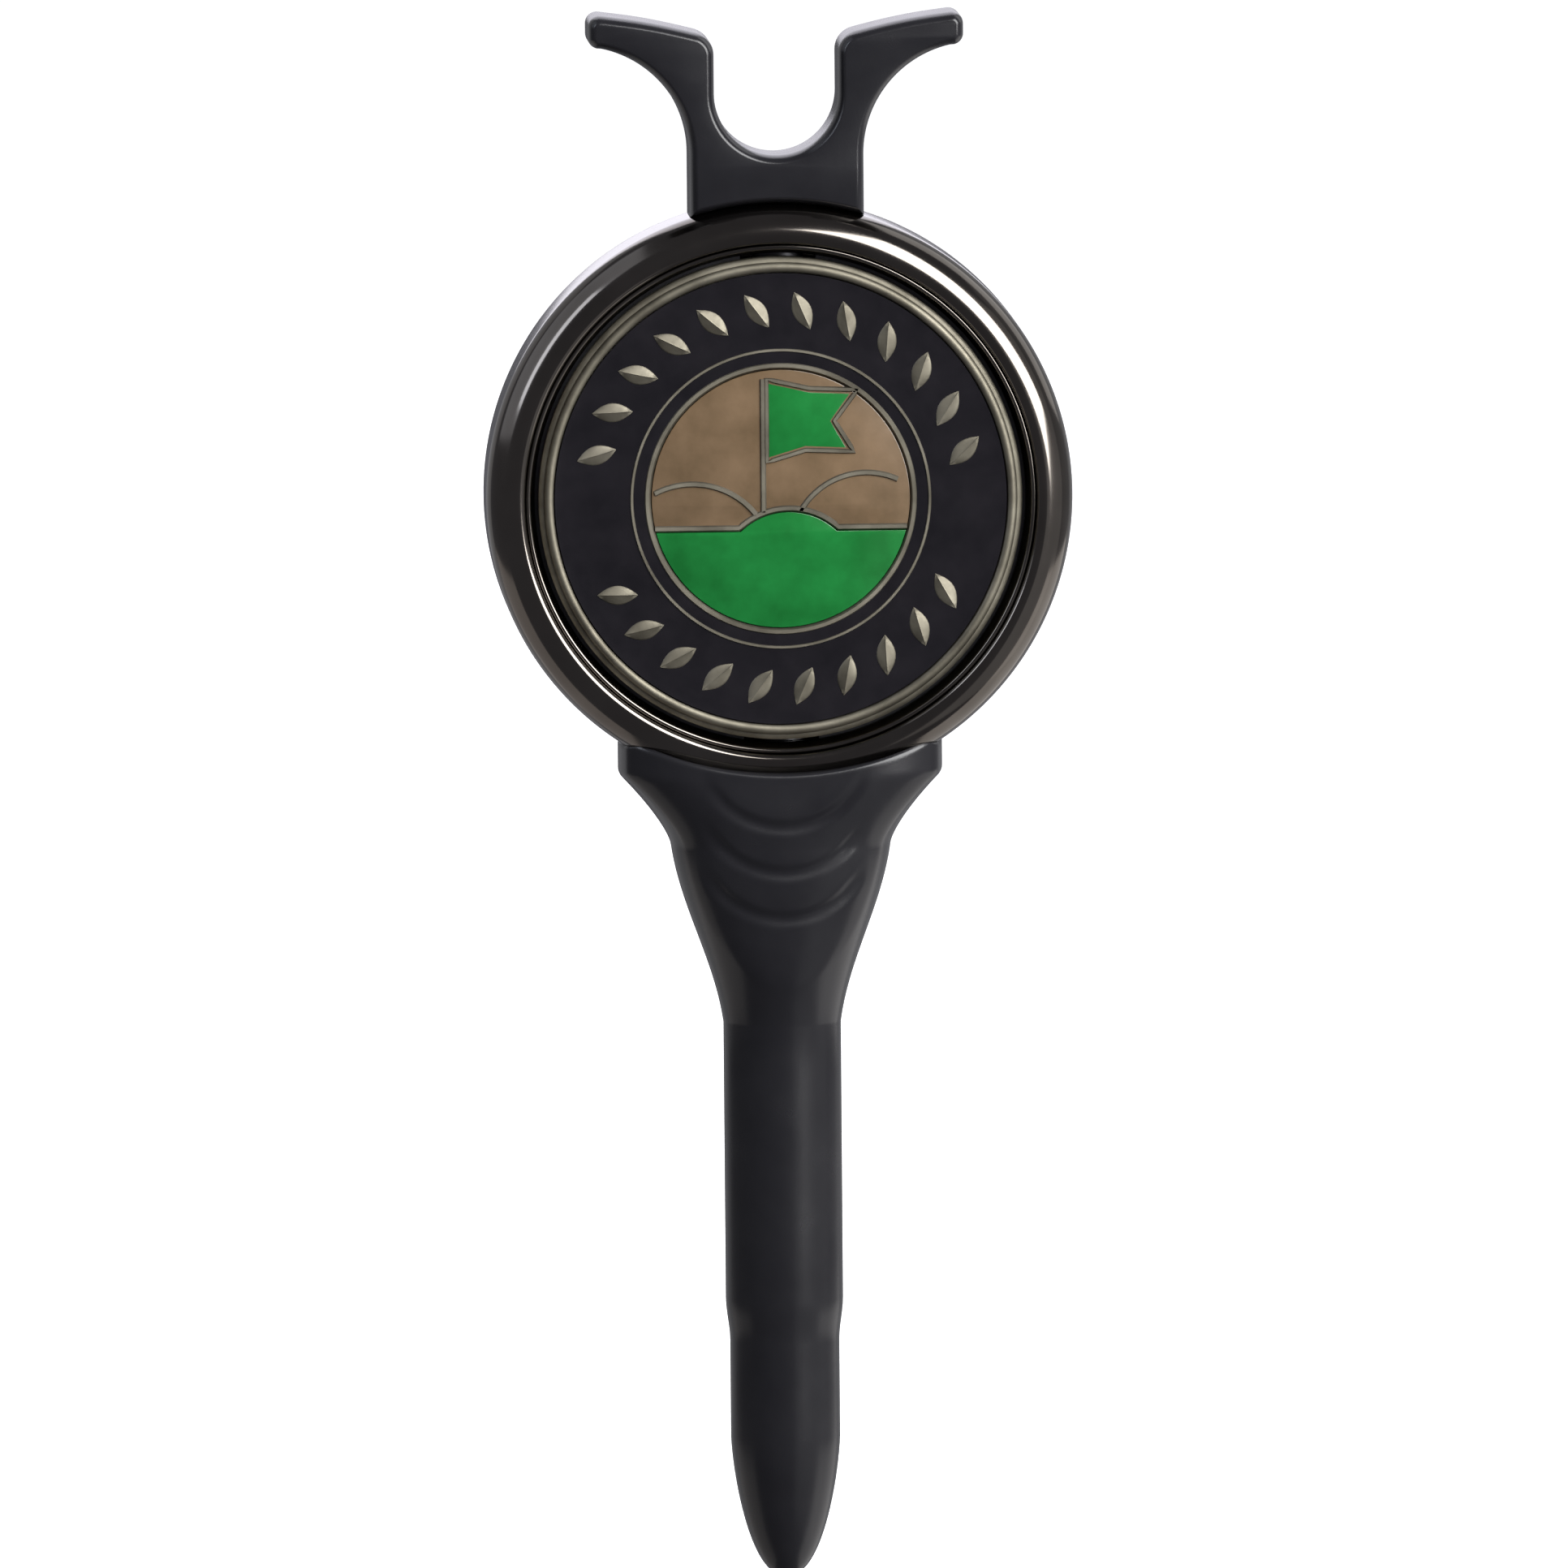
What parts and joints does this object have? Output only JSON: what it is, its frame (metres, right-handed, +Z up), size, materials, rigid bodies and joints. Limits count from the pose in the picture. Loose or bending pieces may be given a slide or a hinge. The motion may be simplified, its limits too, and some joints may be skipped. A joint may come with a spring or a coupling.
{
  "type": "divot repair tool",
  "caption": "Tee-shaped divot repair tool with a forked club rest on top and a round metal case that holds a magnetic ball marker.",
  "frame": {"origin": "the point of the spike, on the axis of the tool", "axes": "+Z up the axis from the spike's point to the fork, -Y out of the front, where the ball marker faces, +X to the right as seen from the front"},
  "size_m": [0.0304, 0.009, 0.0815],
  "materials": {
    "matt_black": "moulded, matt to satin black",
    "black_nickel": "polished black nickel plating",
    "zinc": "black zinc-plated steel",
    "magnet": "bright nickel",
    "screw_steel": "black oxide steel",
    "marker_metal": "struck iron with antique nickel plating",
    "black_enamel": "gloss black enamel",
    "green_enamel": "gloss green enamel",
    "copper_enamel": "gloss copper-brown enamel"
  },
  "bodies": {
    "tool": {"tee_spike": "matt_black", "fork_rest": "matt_black", "case_ring": "black_nickel", "marker_bezel": "black_nickel", "seat_plate": "zinc", "marker_magnet": "magnet", "back_cover": "black_nickel", "spike_screw": "screw_steel", "fork_screw": "screw_steel", "spike_washer": "screw_steel", "fork_washer": "screw_steel"},
    "ball_marker": {"marker_base": "marker_metal", "enamel_black": "black_enamel", "enamel_green": "green_enamel", "enamel_sky": "copper_enamel"}
  },
  "joints": [
    {"name": "marker_lift", "type": "slide", "parent": "tool", "child": "ball_marker", "axis": [0, -1, 0], "range_m": [0, 0.02]}
  ]
}
